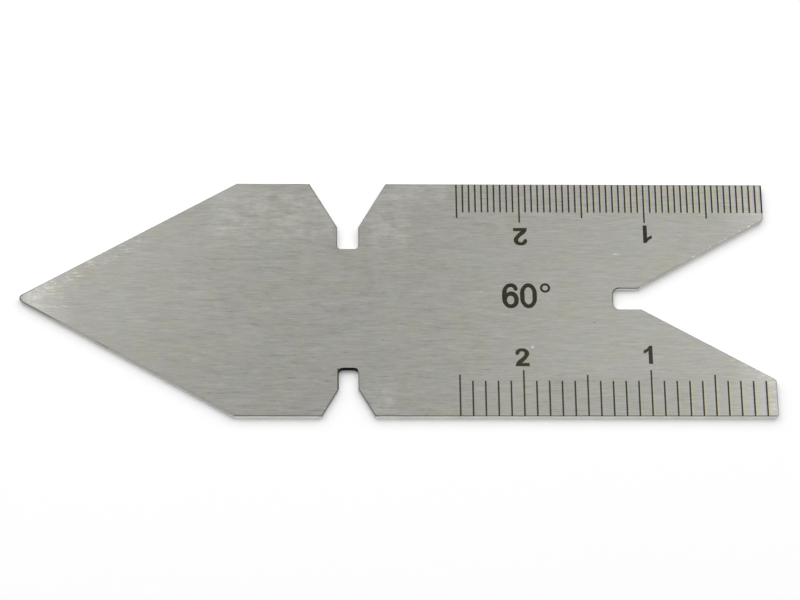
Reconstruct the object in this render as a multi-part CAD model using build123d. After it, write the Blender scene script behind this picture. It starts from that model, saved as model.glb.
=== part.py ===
from build123d import *
import math
import os

# A center gauge for 60 degree screw threads, ground from one piece of stainless sheet.
# It lies flat with its graduated face up. X runs from the nose to the fishtail and Y
# across the plate. The origin is the middle of the underside. Sizes are in mm.

# Blank
plate_width = 20.0
plate_thickness = 0.5
edge_break = 0.06

# Every vee of the gauge is ground to the one thread angle, in degrees
vee_angle = 60.0

# Nose, from the zero line of the scales to the point where its two flanks would meet
nose_length = 59.87
nose_radius = 0.34

# Fishtail, its mouth measured at the zero line of the scales. The vee was ground a
# little nearer the half millimetre edge than its relief slot.
fishtail_mouth = 14.1
fishtail_vee_offset = 0.07
fishtail_slot_width = 1.8
fishtail_slot_depth = 12.74
fishtail_slot_radius = 0.5

# Side notches, opposite each other, at this distance from the zero line
notch_place = 33.7
large_notch_mouth = 6.1
large_notch_depth = 5.7
large_notch_slot_width = 1.7
large_notch_slot_radius = 0.3
small_notch_mouth = 4.2
small_notch_depth = 4.03
small_notch_slot_width = 1.55
small_notch_slot_radius = 0.36

# The tines are ground back a little from the zero line and their inner corners eased
upper_tine_gap = 0.45
lower_tine_gap = 0.16
tine_inner_radius = 0.4
tine_outer_radius = 0.2

# Scales: half millimetres along the upper edge and millimetres along the lower one
scale_length = 25.0
upper_pitch = 0.5
lower_pitch = 1.0
mark_width = 0.13
mark_depth = 0.03
upper_mark_length = 2.5
lower_mark_length = 3.0

# Every fifth and tenth millimetre has a longer mark
fifth_extra = 0.5
tenth_extra = 0.9

# How far a cutter runs past the edge that it cuts through
overrun = 1.0

half_angle = math.radians(vee_angle / 2)
half_width = plate_width / 2


def vee_depth(opening):
    """Distance from where a vee is this wide to the point where its flanks meet."""
    return opening / 2 / math.tan(half_angle)


nose_blunting = nose_radius / math.sin(half_angle) - nose_radius
nose_end = nose_length - nose_blunting
zero_x = (nose_end + min(upper_tine_gap, lower_tine_gap)) / 2


def along(distance):
    """X of a place on the gauge, from its distance to the zero line of the scales."""
    return zero_x - distance


def blank():
    """Outline of the sheet up to the zero line, with the blunted nose."""
    point = along(nose_length)
    shoulder = point + vee_depth(plate_width)
    tail = along(0)
    outline = Polyline(
        (point, 0),
        (shoulder, half_width),
        (tail, half_width),
        (tail, -half_width),
        (shoulder, -half_width),
        close=True,
    )
    profile = make_face(outline)
    return fillet(profile.vertices().sort_by(Axis.X)[0], nose_radius)


def relieved_vee(mouth, slot_width, slot_depth, slot_radius, vee_offset=0):
    """Cutter for a vee with a relief slot, entering at y = 0 and going towards -Y."""
    tip = vee_depth(mouth)
    reach = (tip + overrun) * math.tan(half_angle)
    vee = make_face(Polyline((0, -tip), (reach, overrun), (-reach, overrun), close=True))
    vee = Pos(vee_offset, 0) * vee
    slot = Pos(0, -slot_depth / 2) * Rectangle(slot_width, slot_depth)
    slot_end = slot.vertices().group_by(Axis.Y)[0]
    return vee + fillet(slot_end, slot_radius)


def tine_trim(gap, side):
    """Cutter that grinds one tine back from the zero line."""
    length = gap + overrun
    width = half_width + overrun
    return Pos(along(gap) + length / 2, side * width / 2) * Rectangle(length, width)


def ease_corner(profile, x, y, radius):
    """Round the corner of the outline that lies at this place."""
    corner = profile.vertices().sort_by_distance(Vector(x, y))[0]
    return fillet(corner, radius)


def gauge_outline():
    large_notch = relieved_vee(
        large_notch_mouth,
        large_notch_slot_width,
        large_notch_depth,
        large_notch_slot_radius,
    )
    small_notch = relieved_vee(
        small_notch_mouth,
        small_notch_slot_width,
        small_notch_depth,
        small_notch_slot_radius,
    )
    fishtail = relieved_vee(
        fishtail_mouth,
        fishtail_slot_width,
        fishtail_slot_depth,
        fishtail_slot_radius,
        -fishtail_vee_offset,
    )
    profile = blank()
    profile -= Pos(along(notch_place), half_width) * large_notch
    profile -= Pos(along(notch_place), -half_width) * Rot(0, 0, 180) * small_notch
    profile -= Pos(along(0), 0) * Rot(0, 0, -90) * fishtail
    profile -= tine_trim(upper_tine_gap, 1)
    profile -= tine_trim(lower_tine_gap, -1)
    for gap, side in ((upper_tine_gap, 1), (lower_tine_gap, -1)):
        half_gap = (vee_depth(fishtail_mouth) - gap) * math.tan(half_angle)
        inner_y = fishtail_vee_offset + side * half_gap
        profile = ease_corner(profile, along(gap), inner_y, tine_inner_radius)
        profile = ease_corner(profile, along(gap), side * half_width, tine_outer_radius)
    return profile


def scale_marks(pitch, side, shortest):
    """Grooves of one scale, each run out through the edge of the plate."""
    steps_to_five = round(5 / pitch)
    grooves = []
    for step in range(1, round(scale_length / pitch) + 1):
        length = shortest
        if step % steps_to_five == 0:
            length = shortest + fifth_extra
        if step % (2 * steps_to_five) == 0:
            length = shortest + tenth_extra
        middle_y = half_width + (overrun - length) / 2
        groove = Box(mark_width, length + overrun, 2 * mark_depth)
        grooves.append(Pos(along(step * pitch), side * middle_y, plate_thickness) * groove)
    return grooves


def gauge_plate():
    plate = extrude(gauge_outline(), plate_thickness)
    faces = plate.faces().sort_by(Axis.Z)
    plate = chamfer(faces[0].edges() + faces[-1].edges(), edge_break)
    plate -= scale_marks(upper_pitch, 1, upper_mark_length)
    plate -= scale_marks(lower_pitch, -1, lower_mark_length)
    return plate


os.makedirs("parts", exist_ok=True)
export_step(gauge_plate(), "parts/gauge_plate.step")
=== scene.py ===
import math

import bpy
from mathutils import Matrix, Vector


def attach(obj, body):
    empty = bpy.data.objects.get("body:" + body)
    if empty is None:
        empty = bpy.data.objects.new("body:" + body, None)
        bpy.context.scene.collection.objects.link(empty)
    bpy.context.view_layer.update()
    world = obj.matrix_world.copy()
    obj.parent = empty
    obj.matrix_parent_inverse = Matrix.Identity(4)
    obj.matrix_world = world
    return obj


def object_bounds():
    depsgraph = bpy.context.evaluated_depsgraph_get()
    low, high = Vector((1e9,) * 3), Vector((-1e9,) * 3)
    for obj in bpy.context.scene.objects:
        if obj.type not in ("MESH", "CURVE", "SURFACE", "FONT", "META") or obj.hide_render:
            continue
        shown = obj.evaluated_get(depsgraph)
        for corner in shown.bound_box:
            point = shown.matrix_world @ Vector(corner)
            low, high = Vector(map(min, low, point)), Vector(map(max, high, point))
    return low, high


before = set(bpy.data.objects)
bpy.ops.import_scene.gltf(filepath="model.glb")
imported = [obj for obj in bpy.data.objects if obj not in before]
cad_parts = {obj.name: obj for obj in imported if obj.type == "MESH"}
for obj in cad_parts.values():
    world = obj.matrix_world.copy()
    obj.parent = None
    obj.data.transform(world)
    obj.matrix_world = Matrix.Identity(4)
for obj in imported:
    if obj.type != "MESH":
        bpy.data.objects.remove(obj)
cad_low, cad_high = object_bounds()

# Camera: it looks down on the graduated face from in front of the millimetre edge,
# through a long lens, so that the gauge shows almost flat and fills the picture.
camera_place = (-0.008362, -0.099321, 0.229152)
camera_turn = (23.458, -1.849, -0.703)
camera_lens = 142.31
camera_sensor = 36.0
camera_nearest = 0.01

bpy.ops.object.select_all(action="DESELECT")
bpy.ops.object.camera_add(
    location=camera_place, rotation=[math.radians(angle) for angle in camera_turn]
)
camera = bpy.context.object
camera.data.sensor_width = camera_sensor
camera.data.lens = camera_lens
camera.data.clip_start = camera_nearest
bpy.context.scene.camera = camera
bpy.context.scene.view_settings.view_transform = "Standard"

# Floor: a wide sheet of white paper that the gauge lies on, with the shadow of the plate
# on it. Around it stand the white walls of a studio, under a darker ceiling.
floor_width = 3.0
paper_white = (0.8, 0.8, 0.8, 1)
pure_white = (1, 1, 1, 1)
paper_glow = 0.03
studio_light = 0.5
wall_height = 0.4
ceiling_height = 0.7


def add_node(tree, kind, **inputs):
    """A node of this kind. Each name is one of its settings or, in capitals, an input."""
    made = tree.nodes.new("ShaderNode" + kind)
    for name, value in inputs.items():
        if name[0].isupper():
            made.inputs[name.replace("_", " ")].default_value = value
        else:
            setattr(made, name, value)
    return made


def calc(tree, operation, *operands):
    """The result of a Math node. Each operand is a number or a socket."""
    made = add_node(tree, "Math", operation=operation)
    for socket, operand in zip(made.inputs, operands):
        if isinstance(operand, (int, float)):
            socket.default_value = operand
        else:
            tree.links.new(operand, socket)
    return made.outputs[0]


def ramp(tree, value, start, end, first=0, last=1):
    """Turns a value that goes from start to end into one that goes from first to last."""
    made = add_node(tree, "MapRange", From_Min=start, From_Max=end)
    made.inputs["To Min"].default_value = first
    made.inputs["To Max"].default_value = last
    tree.links.new(value, made.inputs["Value"])
    return made.outputs["Result"]


def seen(tree):
    """1 for what is looked at, straight, in gloss or through glass. 0 for other light."""
    rays = add_node(tree, "LightPath").outputs
    direct = calc(tree, "MAXIMUM", rays["Is Camera Ray"], rays["Is Transmission Ray"])
    return calc(tree, "MAXIMUM", direct, rays["Is Glossy Ray"])


bpy.ops.mesh.primitive_plane_add(size=floor_width)
floor = bpy.context.object
floor.name = "floor"
paper = bpy.data.materials.new("white_paper")
paper.use_nodes = True
paper.node_tree.nodes.clear()
lit_paper = add_node(paper.node_tree, "BsdfDiffuse", Color=paper_white)
seen_paper = add_node(paper.node_tree, "BsdfDiffuse", Color=pure_white)
glow = add_node(paper.node_tree, "Emission", Strength=paper_glow)
glowing_paper = add_node(paper.node_tree, "AddShader")
paper_mix = add_node(paper.node_tree, "MixShader")
paper_out = add_node(paper.node_tree, "OutputMaterial")
link = paper.node_tree.links.new
link(seen_paper.outputs[0], glowing_paper.inputs[0])
link(glow.outputs[0], glowing_paper.inputs[1])
link(seen(paper.node_tree), paper_mix.inputs[0])
link(lit_paper.outputs[0], paper_mix.inputs[1])
link(glowing_paper.outputs[0], paper_mix.inputs[2])
link(paper_mix.outputs[0], paper_out.inputs["Surface"])
floor.data.materials.append(paper)

studio = bpy.data.worlds.new("studio")
bpy.context.scene.world = studio
studio.use_nodes = True
tree = studio.node_tree
tree.nodes.clear()
link = tree.links.new
direction = add_node(tree, "SeparateXYZ")
link(add_node(tree, "TexCoord").outputs["Generated"], direction.inputs[0])
walls = ramp(tree, direction.outputs["Z"], ceiling_height, wall_height)
white_walls = calc(tree, "MULTIPLY", seen(tree), walls)
backdrop = add_node(tree, "Background", Color=pure_white)
link(ramp(tree, white_walls, 0, 1, first=studio_light), backdrop.inputs["Strength"])
link(backdrop.outputs[0], add_node(tree, "OutputWorld").inputs["Surface"])

# Lamps: two soft boxes side by side above and behind the gauge. The left one reaches
# further out, so the shadow falls towards the millimetre edge and a little to the right.
softbox_distance = 0.35
softbox_elevation = math.radians(51.3)
softbox_height = 0.392
softbox_gap = 0.05
left_width = 0.42
left_radiance = 1.70
right_width = 0.40
right_radiance = 1.58


def add_softbox(name, sideways, width, radiance):
    """A soft box that faces the gauge, its middle this far to one side."""
    place = (
        sideways,
        softbox_distance * math.cos(softbox_elevation),
        softbox_distance * math.sin(softbox_elevation),
    )
    turn = (softbox_elevation - math.pi / 2, 0, 0)
    bpy.ops.object.light_add(type="AREA", location=place, rotation=turn)
    softbox = bpy.context.object
    softbox.name = name
    softbox.data.shape = "RECTANGLE"
    softbox.data.size = width
    softbox.data.size_y = softbox_height
    softbox.data.energy = radiance * math.pi * width * softbox_height


left_place = -(softbox_gap + left_width) / 2
right_place = (softbox_gap + right_width) / 2
add_softbox("left_softbox", left_place, left_width, left_radiance)
add_softbox("right_softbox", right_place, right_width, right_radiance)

# Plate: one piece of stainless sheet, ground along its length with a fine belt. The edges
# are cut and broken by hand, their walls painted lighter and their edges darker as light
# and shade. Use has polished and scratched both ends, with painted glints on scratches and
# burrs. The slots are painted dark as shade, and the heat of marking has tinted the steel
# beside the scales, with a painted glint on one side of each mark.
mm = 0.001
plate_thickness = 0.5
middle_height = plate_thickness / 2
tine_to_zero = 0.16
scale_length = 25.0
half_millimetre_pitch = 0.5
millimetre_pitch = 1.0

# Points of the outline in mm, and the slopes of its flanks to the straight edges
nose_point = (-30.025, 0)
tip_middle = (-29.345, 0)
fishtail_point = (17.634, 0.07)
small_notch_corner = (-5.955, -10.0)
large_notch_corner = (-6.905, 10.0)
flank_slope = 30
notch_slope = 60

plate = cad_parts["gauge_plate"]
zero_line = cad_high[0] + tine_to_zero * mm


def blend(tree, factor, first, second):
    """A colour that goes from first to second as the factor goes from 0 to 1."""
    made = add_node(tree, "Mix", data_type="RGBA")
    tree.links.new(factor, made.inputs[0])
    for socket, colour in ((made.inputs[6], first), (made.inputs[7], second)):
        if isinstance(colour, tuple):
            socket.default_value = colour
        else:
            tree.links.new(colour, socket)
    return made.outputs[2]


def common(tree, first, *others):
    """Where all of these masks hold. A number makes the result weaker."""
    for other in others:
        first = calc(tree, "MULTIPLY", first, other)
    return first


def either(tree, first, *others):
    """Where any of these masks holds."""
    for other in others:
        first = calc(tree, "MAXIMUM", first, other)
    return first


def fade(tree, value, start, end, first=0, last=1):
    """As ramp, for a distance that goes from start to end in mm."""
    return ramp(tree, value, start * mm, end * mm, first, last)


def between(tree, value, low, high, soft=0.05):
    """1 where a distance lies between low and high, fading out over soft, all in mm."""
    rise = fade(tree, value, low - soft, low)
    return common(tree, rise, fade(tree, value, high + soft, high))


def inside(tree, x, y, area, soft_x=0.05, soft_y=0.05):
    """1 in a part of the plate, given by its lowest and its highest corner in mm."""
    (low_x, low_y), (high_x, high_y) = area
    across = between(tree, x, low_x, high_x, soft_x)
    return common(tree, across, between(tree, y, low_y, high_y, soft_y))


def from_flank(tree, x, y, point, slope):
    """Distance above a flank that leaves this point at so many degrees to the edges."""
    point_x, point_y = point
    rise = calc(tree, "SUBTRACT", y, point_y * mm)
    run = calc(tree, "SUBTRACT", x, point_x * mm)
    across = calc(tree, "MULTIPLY", rise, math.cos(math.radians(slope)))
    return calc(tree, "MULTIPLY_ADD", run, -math.sin(math.radians(slope)), across)


def spots(tree, width, detail=1):
    """Soft noise with spots of about this width in mm."""
    place = add_node(tree, "TexCoord")
    noise = add_node(tree, "TexNoise", Scale=1 / (width * mm), Detail=detail)
    tree.links.new(place.outputs["Object"], noise.inputs["Vector"])
    return noise.outputs["Fac"]


row_shift = 7.31
mark_roughness = 0.65


def belt_marks(tree, length, height, detail=3):
    """Straight marks about this long, each in a row of its own, this high, in mm."""
    place = add_node(tree, "SeparateXYZ")
    tree.links.new(add_node(tree, "TexCoord").outputs["Object"], place.inputs[0])
    row = calc(tree, "FLOOR", calc(tree, "DIVIDE", place.outputs["Y"], height * mm))
    along = add_node(tree, "CombineXYZ")
    reach = calc(tree, "DIVIDE", place.outputs["X"], length * mm)
    tree.links.new(reach, along.inputs["X"])
    tree.links.new(calc(tree, "MULTIPLY", row, row_shift), along.inputs["Y"])
    noise = add_node(tree, "TexNoise", noise_dimensions="2D", Scale=1, Detail=detail)
    noise.inputs["Roughness"].default_value = mark_roughness
    tree.links.new(along.outputs[0], noise.inputs["Vector"])
    return noise.outputs["Fac"]


# The belt's broad, medium and fine marks: length and height in mm, and their share
belt_layers = ((3.5, 0.3, 0.2), (1.8, 0.12, 0.25), (1.5, 0.05, 0.55))
stray_length = 4.0
stray_height = 0.06
stray_depth = 0.12


def belt_grain():
    """Node group of the belt's marks: streaks, stray scratches and the relief of both."""
    grain = bpy.data.node_groups.new("belt_grain", "ShaderNodeTree")
    for name in ("Streaks", "Scratches", "Height"):
        grain.interface.new_socket(name, in_out="OUTPUT", socket_type="NodeSocketFloat")
    streaks = 0
    for length, height, share in belt_layers:
        marks = belt_marks(grain, length, height)
        streaks = calc(grain, "MULTIPLY_ADD", marks, share, streaks)
    strays = belt_marks(grain, stray_length, stray_height, detail=0)
    scratches = ramp(grain, strays, 0.58, 0.7)
    relief = calc(grain, "MULTIPLY_ADD", scratches, -stray_depth, streaks)
    out = grain.nodes.new("NodeGroupOutput")
    grain.links.new(streaks, out.inputs["Streaks"])
    grain.links.new(scratches, out.inputs["Scratches"])
    grain.links.new(relief, out.inputs["Height"])
    return grain


grain_group = belt_grain()

# Ground face. A pair of places says where a look begins and where it is full, in mm.
steel_grey = (0.246, 0.246, 0.2275, 1)
steel_warm = (0.249, 0.2445, 0.213, 1)
steel_rosy = (0.250, 0.2425, 0.228, 1)
polished_steel = (0.315, 0.313, 0.294, 1)
patch_width = 4.0
blotch_width = 1.4
nose_polished = (-25.5, -28.3)
tip_spared = (-29.65, -29.0)
tine_polished = (26.0, 29.5)


def ground_face(tree, x):
    """Blotchy grey of the ground face, with both ends polished by use."""
    patches = spots(tree, patch_width, detail=3)
    blotches = spots(tree, blotch_width, detail=2)
    face = blend(tree, ramp(tree, patches, 0.4, 0.6), steel_grey, steel_warm)
    face = blend(tree, ramp(tree, blotches, 0.5, 0.65), face, steel_rosy)
    at_nose = fade(tree, x, *nose_polished)
    at_nose = common(tree, at_nose, fade(tree, x, *tip_spared, first=0.2))
    at_tine = fade(tree, x, *tine_polished, last=0.95)
    polish = calc(tree, "ADD", at_nose, at_tine)
    polish = common(tree, polish, ramp(tree, patches, 0.3, 0.6, first=0.6))
    return blend(tree, polish, face, polished_steel)


# Heat tint, with a painted glint on its straw and rosy side: its rows along the two edges,
# the places where it begins and is full, and its two sides, in mm from the middle of a
# mark
straw_heat_and_glint = (0.300, 0.290, 0.180, 1)
rosy_heat_and_glint = (0.310, 0.268, 0.215, 1)
violet_heat = (0.262, 0.250, 0.283, 1)
blue_heat = (0.235, 0.262, 0.272, 1)
straw_spot = 0.9
violet_spot = 1.3
heat_spot = 1.0
half_millimetre_rows = (7.5, 10.1)
millimetre_rows = (-10.1, -7.0)
half_millimetre_heat = (5.0, 25.0)
millimetre_heat = (14.0, 27.0)
past_last_mark = (-(scale_length + 0.3), -(scale_length + 0.2))
warm_side = (0.06, 0.15)
cool_side = (-0.17, -0.06)


def heat_tint_and_glint(tree, x, y, above, face):
    """Straw or rosy heat with a painted glint on one side of each mark, violet or blue on
    the other.
    """
    past_zero = calc(tree, "SUBTRACT", x, zero_line)
    half_step = half_millimetre_pitch / 2 * mm
    whole_step = millimetre_pitch / 2 * mm
    by_half = calc(tree, "WRAP", past_zero, -half_step, half_step)
    by_whole = calc(tree, "WRAP", past_zero, -whole_step, whole_step)
    in_scale = common(tree, above, fade(tree, past_zero, *past_last_mark))
    upper_rows = common(tree, in_scale, between(tree, y, *half_millimetre_rows))
    lower_rows = common(tree, in_scale, between(tree, y, *millimetre_rows))
    from_mark = calc(tree, "MULTIPLY", by_half, upper_rows)
    from_mark = calc(tree, "MULTIPLY_ADD", by_whole, lower_rows, from_mark)
    upper_heat = fade(tree, x, *half_millimetre_heat, first=0.3)
    upper_heat = common(tree, upper_rows, upper_heat)
    lower_heat = common(tree, lower_rows, fade(tree, x, *millimetre_heat))
    heat = calc(tree, "ADD", upper_heat, lower_heat)
    heat = common(tree, heat, ramp(tree, spots(tree, heat_spot), 0.3, 0.6, first=0.5))
    # Painted glint: the straw and rosy side is lighter than the steel, where the groove's
    # wall catches light
    warm_tint_and_glint = common(tree, heat, between(tree, from_mark, *warm_side, soft=0.08))
    rosy = ramp(tree, spots(tree, straw_spot), 0.52, 0.62)
    face = blend(tree, warm_tint_and_glint, face, blend(tree, rosy, straw_heat_and_glint, rosy_heat_and_glint))
    cool = common(tree, heat, between(tree, from_mark, *cool_side))
    blue = ramp(tree, spots(tree, violet_spot), 0.5, 0.6)
    return blend(tree, cool, face, blend(tree, blue, violet_heat, blue_heat))


# Scratches of use, painted bright as glints. A strip along a flank is given by its
# distances from that flank.
scratch_glint_white = (0.50, 0.48, 0.43, 1)
scratch_glint_straw = (0.50, 0.455, 0.36, 1)
scratch_length = 0.8
scratch_height = 0.05
scratch_cluster = 0.9
scratch_spot = 1.2
scratch_strength = 0.7
nose_scratched = (-25.0, -27.3)
nose_strip = (-0.9, -0.1)
nose_strip_scratched = (-17, -24)
tine_end = ((29.1, -9.5), (29.7, -7.3))
tine_strip = (-0.6, -0.1)
tine_strip_scratched = (24.5, 27.0)


def scratches_and_glints(tree, x, y, nose_flank, face):
    """Scratches at the nose, at the longer tine's end and along its flank, painted bright
    as glints.
    """
    beside_nose = between(tree, nose_flank, *nose_strip, soft=0.2)
    nose_scratches = fade(tree, x, *nose_strip_scratched, last=0.6)
    beside_nose = common(tree, beside_nose, nose_scratches)
    at_nose = either(tree, beside_nose, fade(tree, x, *nose_scratched))
    tine_flank = from_flank(tree, x, y, fishtail_point, -flank_slope)
    beside_tine = between(tree, tine_flank, *tine_strip, soft=0.2)
    tine_scratches = fade(tree, x, *tine_strip_scratched, last=0.8)
    beside_tine = common(tree, beside_tine, tine_scratches)
    at_tine = either(tree, inside(tree, x, y, tine_end, soft_y=0.3), beside_tine)
    # Painted glints: the scratches and the specks at the tine's end are lighter than the
    # steel
    scratches = belt_marks(tree, scratch_length, scratch_height)
    scratches = ramp(tree, scratches, 0.52, 0.62)
    scratches = common(tree, scratches, either(tree, at_nose, at_tine))
    clusters = ramp(tree, spots(tree, scratch_cluster), 0.38, 0.55)
    scratches = common(tree, scratches, clusters, scratch_strength)
    tint = ramp(tree, spots(tree, scratch_spot), 0.45, 0.55)
    return blend(tree, scratches, face, blend(tree, tint, scratch_glint_white, scratch_glint_straw))


burr_glint = (0.62, 0.61, 0.58, 1)
burr_spot = 0.2
tail_burr_strip = (0.08, 0.14)
tail_burred = (21.5, 24.0)
notch_burr_strip = (0.09, 0.15)
notch_burred = (-9.7, -8.9)


def glinting_burrs(tree, x, y, above, face):
    """Burrs along one flank of the fishtail and one of the small notch, painted bright as
    glints.
    """
    tail_flank = from_flank(tree, x, y, fishtail_point, flank_slope)
    along_tail = between(tree, tail_flank, *tail_burr_strip, soft=0.03)
    along_tail = common(tree, along_tail, fade(tree, x, *tail_burred))
    notch_flank = from_flank(tree, x, y, small_notch_corner, notch_slope)
    along_notch = between(tree, notch_flank, *notch_burr_strip, soft=0.03)
    along_notch = common(tree, along_notch, between(tree, y, *notch_burred, soft=0.1))
    burrs = common(tree, either(tree, along_tail, along_notch), above)
    patchy = ramp(tree, spots(tree, burr_spot), 0.54, 0.66, last=0.7)
    burrs = common(tree, burrs, patchy)
    # Painted glints along the burrs
    return blend(tree, burrs, face, burr_glint)


# Dark rims of the face. Round the tip they are given by the distance from its middle.
# Dark colour of the rims, and of the painted shade on edges and below the tip
dark_rim_and_shade = (0.075, 0.073, 0.068, 1)
tip_rim = (0.18, 0.26)
tip_rim_behind = (-29.395, -29.495)
tip_rim_strength = 0.7
flank_rim = (-0.1, -0.03)
flank_rim_strength = 0.4
nose_rim_darkens = (-27.2, -29.0)
large_notch_rim = ((-6.9, 6.2), (-4.7, 9.9))
low_rim = (-9.97, -9.91)
low_rim_strength = 0.8


def dark_rims(tree, x, y, above, nose_flank, face):
    """Dark rims round the tip and behind it and beside the large notch, and painted shade
    along the low edge.
    """
    from_tip = add_node(tree, "VectorMath", operation="DISTANCE")
    tree.links.new(add_node(tree, "TexCoord").outputs["Object"], from_tip.inputs[0])
    tip_x, tip_y = tip_middle
    from_tip.inputs[1].default_value = (tip_x * mm, tip_y * mm, plate_thickness * mm)
    at_tip = fade(tree, from_tip.outputs["Value"], *tip_rim)
    at_tip = common(tree, at_tip, fade(tree, x, *tip_rim_behind), above)
    face = blend(tree, common(tree, at_tip, tip_rim_strength), face, dark_rim_and_shade)
    at_nose = between(tree, nose_flank, *flank_rim, soft=0.02)
    at_nose = common(tree, at_nose, fade(tree, x, *nose_rim_darkens))
    notch_flank = from_flank(tree, x, y, large_notch_corner, -notch_slope)
    at_notch = between(tree, notch_flank, *flank_rim, soft=0.02)
    at_notch = common(tree, at_notch, inside(tree, x, y, large_notch_rim))
    at_flanks = common(tree, either(tree, at_nose, at_notch), above, flank_rim_strength)
    face = blend(tree, at_flanks, face, dark_rim_and_shade)
    # Painted shade: a dark line along the low edge
    low_edge_shade = between(tree, y, *low_rim, soft=0.01)
    low_edge_shade = common(tree, low_edge_shade, above, low_rim_strength)
    return blend(tree, low_edge_shade, face, dark_rim_and_shade)


# Specks and nicks in mm, each by its middle and its size, and the rubbed patches, each
# by its lowest and its highest corner
frosted_steel = (0.31, 0.308, 0.285, 1)
speck_dirt = (0.04, 0.038, 0.03, 1)
speck_strength = 0.5
dirt_specks = (((-1.14, -3.57), (0.05, 0.04)), ((15.55, -2.05), (0.2, 0.03)))
bright_nicks = (
    ((17.5, 3.86), (0.5, 0.1)),
    ((6.55, 0.56), (0.6, 0.03)),
    ((10.64, -4.16), (0.25, 0.15)),
)
nick_spot = 0.2
rubbed_areas = (
    ((0.3, 8.7), (3.8, 10.0)),
    ((-14.5, 5.6), (-5.2, 9.0)),
    ((-1.8, 4.5), (0.6, 9.0)),
    ((-2.0, -9.5), (-0.5, -7.0)),
)
rubbed_length = 0.9
rubbed_height = 0.12


def single_mark(tree, x, y, middle, size):
    """1 on one small mark of use, given by its middle and its size."""
    low = [at - part / 2 for at, part in zip(middle, size)]
    high = [at + part / 2 for at, part in zip(middle, size)]
    return inside(tree, x, y, (low, high))


def marks_of_use(tree, x, y, above, face):
    """Specks of dirt, bright nicks, and patches rubbed dull beside the notches."""
    for middle, size in dirt_specks:
        speck = single_mark(tree, x, y, middle, size)
        speck = common(tree, speck, above, speck_strength)
        face = blend(tree, speck, face, speck_dirt)
    for middle, size in bright_nicks:
        nick = common(tree, single_mark(tree, x, y, middle, size), above)
        patchy = ramp(tree, spots(tree, nick_spot), 0.4, 0.6, first=0.1, last=0.6)
        face = blend(tree, common(tree, nick, patchy), face, scratch_glint_white)
    rubbing = belt_marks(tree, rubbed_length, rubbed_height)
    rubbing = calc(tree, "ADD", rubbing, spots(tree, rubbed_length))
    rubbing = ramp(tree, rubbing, 0.8, 1.2, last=0.6)
    for area in rubbed_areas:
        rubbed = inside(tree, x, y, area, soft_x=0.8, soft_y=0.5)
        face = blend(tree, common(tree, rubbed, above, rubbing), face, frosted_steel)
    return face


stray_darkening = 0.04
# Painted light and shade tilts the face over these spans, in mm
end_to_end = (-14.0, 15.0)
side_to_side = (-9.0, 9.0)
# Painted shade: an area near the lower right, and how much it darkens the face
painted_shade_area = ((12.5, -9.7), (22.5, -6.8))
painted_shade_depth = 0.055


def grain_and_painted_light(tree, x, y, grain, face):
    """The face, lighter and darker with the belt's marks, and with painted light and
    shade.
    """
    shade = ramp(tree, grain.outputs["Streaks"], 0.3, 0.7, first=0.8, last=1.2)
    strays = grain.outputs["Scratches"]
    shade = calc(tree, "MULTIPLY_ADD", strays, -stray_darkening, shade)
    # Painted light and shade: lighter at the upper left and lower right, darker at the
    # upper right and lower left
    painted_light_twist = fade(tree, x, *end_to_end, first=0.05, last=-0.055)
    painted_light_twist = common(tree, painted_light_twist, fade(tree, y, *side_to_side, first=-1))
    shade = calc(tree, "ADD", shade, painted_light_twist)
    # Painted shade: darker over an area near the lower right
    painted_shade = inside(tree, x, y, painted_shade_area, soft_x=1.5, soft_y=0.5)
    shade = calc(tree, "MULTIPLY_ADD", painted_shade, -painted_shade_depth, shade)
    shaded = add_node(tree, "VectorMath", operation="SCALE")
    tree.links.new(face, shaded.inputs[0])
    tree.links.new(shade, shaded.inputs["Scale"])
    return shaded.outputs[0]


cut_steel = (0.70, 0.69, 0.67)
wall_lines_per_mm = (0.7, 0.7, 20)
wall_lightens = (-13.5, -12.0)


def cut_wall(tree, x, z, facing):
    """Cut wall with fine lines along it, painted darker where it faces sideways and at the
    nose and lighter towards its foot, so brightest along the two straight edges.
    """
    stretch = add_node(tree, "Mapping", Scale=[lines / mm for lines in wall_lines_per_mm])
    tree.links.new(add_node(tree, "TexCoord").outputs["Object"], stretch.inputs["Vector"])
    lines = add_node(tree, "TexNoise", Scale=1, Detail=2)
    tree.links.new(stretch.outputs["Vector"], lines.inputs["Vector"])
    # Painted shade where the wall faces sideways and at the nose, painted light towards
    # its foot
    sideways = calc(tree, "ABSOLUTE", facing.outputs["Y"])
    shade = common(
        tree,
        ramp(tree, lines.outputs["Fac"], 0.3, 0.7, first=0.8, last=1.1),
        ramp(tree, sideways, 0.0, 0.8, first=0.5),
        ramp(tree, sideways, 0.88, 1.0, first=0.8),
        fade(tree, x, *wall_lightens, first=0.96),
        fade(tree, z, plate_thickness, 0, first=0.93, last=1.38),
    )
    wall = add_node(tree, "VectorMath", operation="SCALE")
    wall.inputs[0].default_value = cut_steel
    tree.links.new(shade, wall.inputs["Scale"])
    return wall.outputs[0]


# Broken edges. They show from this far above the middle of the plate's thickness.
eased_edge = (0.20, 0.197, 0.186, 1)
worn_edge = (0.30, 0.296, 0.28, 1)
upper_half_shows = (0.223, 0.231)
low_edge_darkens = (-9.8, -9.9)
nose_edge_darkens = (-27.4, -29.3)
tine_edge_darkens = (29.2, 29.6)
small_notch = ((-6.2, -9.95), (-1.5, -7.75))
small_notch_lightens = (-4.2, -3.5)
large_notch_flank = ((-6.95, 4.6), (-4.6, 9.92))
large_notch_strength = 0.7
nose_low_flank = ((-29.4, -9.8), (-12.9, -0.1))


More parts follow.
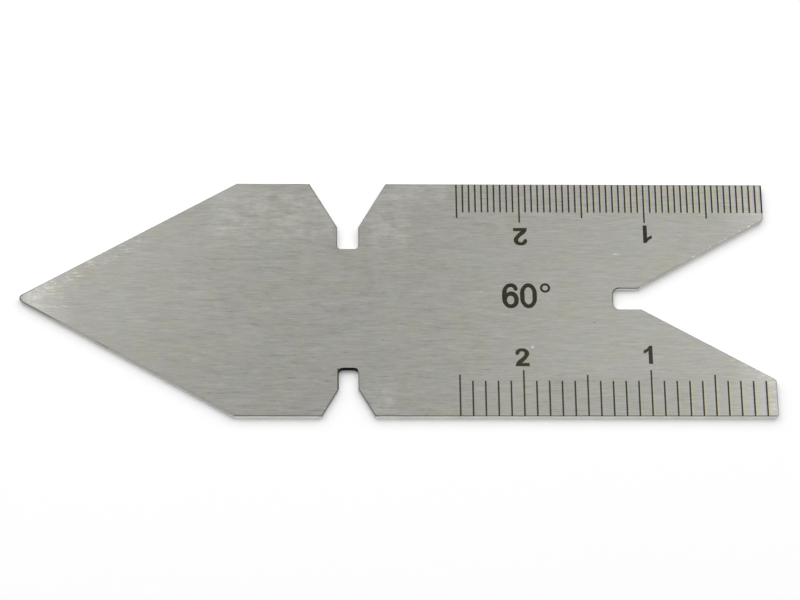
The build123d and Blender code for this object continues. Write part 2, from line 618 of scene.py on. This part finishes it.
def broken_edges(tree, x, y, z, facing, cut):
    """Broken edges: painted dark as shade at some places, worn bright along the nose, and
    else eased.
    """
    in_notch = inside(tree, x, y, small_notch)
    # Painted shade: the edges darken along the millimetre edge, in the small notch, at the
    # nose and the tine's end and on the large notch's flank
    dark = either(
        tree,
        fade(tree, y, *low_edge_darkens),
        common(tree, in_notch, fade(tree, x, *small_notch_lightens, first=1, last=0.6)),
        fade(tree, x, *nose_edge_darkens),
        fade(tree, x, *tine_edge_darkens, last=0.5),
        common(tree, inside(tree, x, y, large_notch_flank), large_notch_strength),
    )
    along_nose = inside(tree, x, y, nose_low_flank, soft_x=0.1)
    broken = blend(tree, dark, eased_edge, dark_rim_and_shade)
    broken = blend(tree, along_nose, broken, worn_edge)

    # Where they face forward, only their upper half shows against the bright wall
    from_middle = calc(tree, "ABSOLUTE", calc(tree, "SUBTRACT", z, middle_height * mm))
    upper_half = fade(tree, from_middle, *upper_half_shows)
    turned_away = ramp(tree, facing.outputs["Y"], 0.0, 0.2)
    shows = either(tree, upper_half, turned_away, in_notch, along_nose)
    return blend(tree, shows, cut, broken)


tip_line_darkens = (-26.0, -27.3)
line_further_back = (-23.5, -22.7)
further_back_strength = 0.6
tip_line_height = (0.34, 0.465)
tip_line_strength = 0.7


def shade_below_tip(tree, x, y, z):
    """Painted shade: a dark line below the tip, between edge and wall, and a piece of it
    further back.
    """
    further_back = between(tree, x, *line_further_back, soft=0.2)
    further_back = common(tree, further_back, further_back_strength)
    line = either(tree, fade(tree, x, *tip_line_darkens), further_back)
    line = common(tree, line, between(tree, z, *tip_line_height, soft=0.02))
    along_nose = inside(tree, x, y, nose_low_flank, soft_x=0.1)
    return common(tree, line, along_nose, tip_line_strength)


slot_shade = (0.008, 0.007, 0.006, 1)
slot_spot = 0.3
small_slot_end = ((-4.8, -6.9), (-3.15, -5.8))
small_slot_side = ((-4.72, -7.7), (-4.5, -6.0))
fishtail_slot_end = ((16.8, -0.2), (17.6, 1.1))
fishtail_slot_wall = ((17.4, 0.5), (19.2, 1.1))
fishtail_shade = 0.8
wall_line_darkens = (0.36, 0.41)
wall_edge_darkens = (0.485, 0.46)


def shaded_slots(tree, x, y, z, cut, broken):
    """Walls and broken edges, painted dark as shade in the slots of two vees."""
    # Painted shade: the small slot's end and side, and the fishtail slot's end, upper wall
    # and its edge
    small_end = inside(tree, x, y, small_slot_end, soft_y=0.3)
    patchy = ramp(tree, spots(tree, slot_spot), 0.75, 0.6, first=0.8)
    small_end = common(tree, small_end, patchy)
    small_side = inside(tree, x, y, small_slot_side, soft_x=0.03)
    tail_end = inside(tree, x, y, fishtail_slot_end, soft_x=0.3, soft_y=0.4)
    tail_wall = inside(tree, x, y, fishtail_slot_wall)
    tail_line = common(tree, tail_wall, fade(tree, z, *wall_line_darkens, last=0.6))
    tail_edge = common(tree, tail_wall, fade(tree, z, *wall_edge_darkens, last=0.8))
    walls = blend(tree, either(tree, small_end, tail_line), cut, slot_shade)
    at_tail = common(tree, either(tree, tail_end, tail_edge), fishtail_shade)
    broken = blend(tree, tail_wall, broken, worn_edge)
    broken = blend(tree, either(tree, small_end, at_tail, small_side), broken, slot_shade)
    return walls, broken


slot_rim_strength = 0.7
face_roughness = (0.26, 0.36)
wall_roughness = 0.35
grain_relief = 0.002


def ground_steel():
    """The plate's steel: ground faces, bright cut walls and dark broken edges, with
    painted light and shade.
    """
    steel = bpy.data.materials.new("ground_steel")
    steel.use_nodes = True
    tree = steel.node_tree
    link = tree.links.new
    tree.nodes.clear()
    grain = add_node(tree, "Group", node_tree=grain_group)
    coordinates = add_node(tree, "TexCoord")
    place = add_node(tree, "SeparateXYZ")
    link(coordinates.outputs["Object"], place.inputs[0])
    x, y, z = place.outputs
    facing = add_node(tree, "SeparateXYZ")
    link(coordinates.outputs["Normal"], facing.inputs[0])
    upright = calc(tree, "ABSOLUTE", facing.outputs["Z"])
    on_wall = ramp(tree, upright, 0.5, 0.3)
    on_edge = calc(tree, "SUBTRACT", ramp(tree, upright, 0.95, 0.85), on_wall)
    above = calc(tree, "GREATER_THAN", z, middle_height * mm)

    nose_flank = from_flank(tree, x, y, nose_point, flank_slope)
    face = heat_tint_and_glint(tree, x, y, above, ground_face(tree, x))
    face = scratches_and_glints(tree, x, y, nose_flank, face)
    face = glinting_burrs(tree, x, y, above, face)
    face = dark_rims(tree, x, y, above, nose_flank, face)
    face = marks_of_use(tree, x, y, above, face)
    face = grain_and_painted_light(tree, x, y, grain, face)
    # Painted shade on the face beside the small slot's side
    beside_slot = inside(tree, x, y, small_slot_side, soft_x=0.03)
    slot_rim = common(tree, beside_slot, above, slot_rim_strength)
    face = blend(tree, slot_rim, face, slot_shade)

    cut = cut_wall(tree, x, z, facing)
    broken = broken_edges(tree, x, y, z, facing, cut)
    walls, broken = shaded_slots(tree, x, y, z, cut, broken)
    colour = blend(tree, on_wall, face, walls)
    colour = blend(tree, on_edge, colour, broken)
    colour = blend(tree, shade_below_tip(tree, x, y, z), colour, dark_rim_and_shade)
    rough = ramp(tree, grain.outputs["Streaks"], 0.3, 0.7, *face_roughness)
    rough = calc(tree, "MULTIPLY_ADD", on_wall, wall_roughness, rough)
    relief = add_node(tree, "Bump", Strength=0.4, Distance=grain_relief * mm)
    link(grain.outputs["Height"], relief.inputs["Height"])
    metal = add_node(tree, "BsdfPrincipled", Metallic=1)
    link(colour, metal.inputs["Base Color"])
    link(rough, metal.inputs["Roughness"])
    link(relief.outputs["Normal"], metal.inputs["Normal"])
    link(metal.outputs[0], add_node(tree, "OutputMaterial").inputs["Surface"])
    return steel


plate.data.materials.clear()
plate.data.materials.append(ground_steel())

# Half millimetre scale: fifty grooves, each run out through the edge beside the large
# notch. They were etched and then filled with a black stain, which has sunk a little.
groove_width = 0.13
groove_depth = 0.03
stain_depth = 0.024
stain_hollow = 0.004
edge_setback = 0.06
fifth_extra = 0.5
tenth_extra = 0.9
half_millimetre_length = 2.5
stain_pales = (-3.5, -4.5)
stain_black = (0.014, 0.012, 0.004, 1)
stain_brown = (0.040, 0.036, 0.019, 1)

face_height = cad_high[2]


def mark_stain():
    """Matt brown-black stain, paler towards the millimetre edge and in the streaks."""
    stain = bpy.data.materials.new("mark_stain")
    stain.use_nodes = True
    tree = stain.node_tree
    link = tree.links.new
    tree.nodes.clear()
    grain = add_node(tree, "Group", node_tree=grain_group)
    relief = add_node(tree, "Bump", Strength=0.5, Distance=grain_relief * mm)
    link(grain.outputs["Height"], relief.inputs["Height"])
    film = add_node(tree, "BsdfPrincipled", Roughness=0.7, Specular_IOR_Level=0.2)
    place = add_node(tree, "SeparateXYZ")
    link(add_node(tree, "TexCoord").outputs["Object"], place.inputs[0])
    paler = fade(tree, place.outputs["Y"], *stain_pales, last=0.45)
    paler = calc(tree, "ADD", paler, ramp(tree, grain.outputs["Streaks"], 0.35, 0.7))
    colour = blend(tree, paler, stain_black, stain_brown)
    link(colour, film.inputs["Base Color"])
    link(relief.outputs["Normal"], film.inputs["Normal"])
    out = add_node(tree, "OutputMaterial")
    link(film.outputs[0], out.inputs["Surface"])
    return stain


stain_material = mark_stain()


def stained(piece):
    """One piece of stain: its finish, and the plate that carries it."""
    piece.data.materials.clear()
    piece.data.materials.append(stain_material)
    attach(piece, "root")


def stain_in_groove(length):
    """Stain in one groove at the zero line: high along its walls, hollow in between."""
    bpy.ops.object.select_all(action="DESELECT")
    bpy.ops.mesh.primitive_plane_add(size=1)
    line = bpy.context.object
    bpy.ops.object.mode_set(mode="EDIT")
    bpy.ops.transform.resize(value=(groove_width * mm, (length - edge_setback) * mm, 1))
    middle = -(length + edge_setback) / 2 * mm
    bpy.ops.transform.translate(value=(0, middle, -groove_depth * mm))
    upwards = {"value": (0, 0, stain_depth * mm)}
    bpy.ops.mesh.extrude_region_move(TRANSFORM_OT_translate=upwards)
    bpy.ops.mesh.inset(thickness=groove_width / 4 * mm, depth=-stain_hollow * mm)
    bpy.ops.mesh.select_all(action="SELECT")
    bpy.ops.mesh.normals_make_consistent(inside=False)
    bpy.ops.object.mode_set(mode="OBJECT")
    return line


def stained_scale(name, pitch, side, shortest):
    """The stain of one scale: a line in each groove, longer at each fifth millimetre."""
    steps_to_five = round(5 / pitch)
    extras = (0, fifth_extra, tenth_extra)
    lines = {extra: stain_in_groove(shortest + extra) for extra in extras}
    copies = []
    for step in range(1, round(scale_length / pitch) + 1):
        extra = 0
        if step % steps_to_five == 0:
            extra = fifth_extra
        if step % (2 * steps_to_five) == 0:
            extra = tenth_extra
        bpy.ops.object.select_all(action="DESELECT")
        lines[extra].select_set(True)
        bpy.ops.object.duplicate()
        copy = bpy.context.selected_objects[0]
        copy.location = (zero_line - step * pitch * mm, side * cad_high[1], face_height)
        copy.rotation_euler.z = 0 if side > 0 else math.pi
        copies.append(copy)
    for line in lines.values():
        bpy.data.objects.remove(line)
    bpy.ops.object.select_all(action="DESELECT")
    for copy in copies:
        copy.select_set(True)
    bpy.context.view_layer.objects.active = copies[0]
    bpy.ops.object.join()
    scale = bpy.context.object
    scale.name = name
    bpy.ops.object.transform_apply(location=True, rotation=True, scale=True)
    stained(scale)


stained_scale("half_millimetre_stain", half_millimetre_pitch, 1, half_millimetre_length)

# Millimetre scale: twenty-five such grooves along the opposite edge, a little longer,
# etched and stained in the same way.
millimetre_length = 3.0

stained_scale("millimetre_stain", millimetre_pitch, -1, millimetre_length)

# Centimetre figures: 1 and 2 beside both scales, drawn in the same stain as a thin film
# on the ground face. Those of the half millimetre scale are read from the other side.
film_thickness = 0.004
film_sunk = 0.002
curve_steps = 6
merge_distance = 0.0005
bends = {"corner": "VECTOR", "round": "AUTO"}

figure_one = [
    [
        (0.38, 0.00, "corner"),
        (0.70, 0.00, "corner"),
        (0.70, 1.54, "corner"),
        (0.45, 1.54, "corner"),
        (0.28, 1.31, "round"),
        (0.00, 1.14, "corner"),
        (0.00, 0.87, "corner"),
        (0.22, 0.97, "round"),
        (0.38, 1.09, "corner"),
    ]
]
figure_two = [
    [
        (0.00, 0.00, "corner"),
        (1.11, 0.00, "corner"),
        (1.11, 0.28, "corner"),
        (0.51, 0.28, "corner"),
        (0.85, 0.61, "round"),
        (1.09, 1.06, "round"),
        (0.93, 1.40, "round"),
        (0.55, 1.52, "round"),
        (0.17, 1.41, "round"),
        (0.01, 1.10, "round"),
        (0.16, 0.95, "round"),
        (0.31, 1.07, "round"),
        (0.37, 1.20, "round"),
        (0.53, 1.26, "round"),
        (0.68, 1.19, "round"),
        (0.73, 1.05, "round"),
        (0.53, 0.76, "round"),
        (0.10, 0.35, "round"),
    ]
]


def stained_figure(name, outlines, place, turned=False):
    """One figure as a film of stain, from its outlines in mm, its foot at this place."""
    drawn = bpy.data.curves.new(name, "CURVE")
    drawn.dimensions = "2D"
    drawn.fill_mode = "BOTH"
    drawn.resolution_u = curve_steps
    drawn.extrude = film_thickness / 2
    for outline in outlines:
        spline = drawn.splines.new("BEZIER")
        spline.bezier_points.add(len(outline) - 1)
        spline.use_cyclic_u = True
        for point, (x, y, bend) in zip(spline.bezier_points, outline):
            point.co = (x, y, 0)
            point.handle_left_type = point.handle_right_type = bends[bend]
    figure = bpy.data.objects.new(name, drawn)
    bpy.context.collection.objects.link(figure)
    bpy.ops.object.select_all(action="DESELECT")
    figure.select_set(True)
    bpy.context.view_layer.objects.active = figure
    bpy.ops.object.convert(target="MESH")
    figure = bpy.context.object
    bpy.ops.object.mode_set(mode="EDIT")
    bpy.ops.mesh.select_all(action="SELECT")
    bpy.ops.mesh.remove_doubles(threshold=merge_distance)
    bpy.ops.mesh.normals_make_consistent(inside=False)
    bpy.ops.object.mode_set(mode="OBJECT")
    figure.scale = (mm, mm, mm)
    figure.rotation_euler.z = math.pi if turned else 0
    x, y = place
    height = face_height + (film_thickness / 2 - film_sunk) * mm
    figure.location = (zero_line + x * mm, y * mm, height)
    bpy.ops.object.transform_apply(location=True, rotation=True, scale=True)
    stained(figure)


stained_figure("upper_figure_one", figure_one, (-9.44, 6.38), turned=True)
stained_figure("upper_figure_two", figure_two, (-19.40, 6.13), turned=True)
stained_figure("lower_figure_one", figure_one, (-10.52, -5.57))
stained_figure("lower_figure_two", figure_two, (-20.62, -5.78))

# Thread angle: 60 degrees, in taller figures of the same stain, on the face between the
# side notches and the fishtail.
degree_radius = 0.41
degree_hole = 0.22

figure_six = [
    [
        (1.27, 1.67, "corner"),
        (1.09, 2.01, "round"),
        (0.69, 2.15, "round"),
        (0.20, 1.88, "round"),
        (0.00, 1.05, "round"),
        (0.19, 0.26, "round"),
        (0.67, 0.00, "round"),
        (1.14, 0.20, "round"),
        (1.32, 0.71, "round"),
        (1.17, 1.22, "round"),
        (0.75, 1.45, "round"),
        (0.37, 1.33, "corner"),
        (0.45, 1.67, "round"),
        (0.69, 1.82, "round"),
        (0.90, 1.71, "round"),
        (1.00, 1.52, "corner"),
        (1.14, 1.49, "corner"),
    ],
    [
        (0.67, 1.07, "round"),
        (0.965, 0.71, "round"),
        (0.68, 0.335, "round"),
        (0.385, 0.71, "round"),
    ],
]
figure_nought = [
    [
        (0.675, 2.15, "round"),
        (1.15, 1.87, "round"),
        (1.345, 1.075, "round"),
        (1.15, 0.28, "round"),
        (0.675, 0.00, "round"),
        (0.20, 0.28, "round"),
        (0.005, 1.075, "round"),
        (0.20, 1.87, "round"),
    ],
    [
        (0.675, 1.80, "round"),
        (0.93, 1.60, "round"),
        (0.98, 1.075, "round"),
        (0.93, 0.55, "round"),
        (0.675, 0.345, "round"),
        (0.42, 0.55, "round"),
        (0.37, 1.075, "round"),
        (0.42, 1.60, "round"),
    ],
]


def ring(radius):
    """A round outline about the middle of the degree sign."""
    turns = [math.pi / 2 * quarter for quarter in range(4)]
    return [(radius * math.cos(turn), radius * math.sin(turn), "round") for turn in turns]


stained_figure("angle_six", figure_six, (-21.54, -0.84))
stained_figure("angle_nought", figure_nought, (-20.12, -0.84))
stained_figure("degree_sign", [ring(degree_radius), ring(degree_hole)], (-18.11, 0.91))
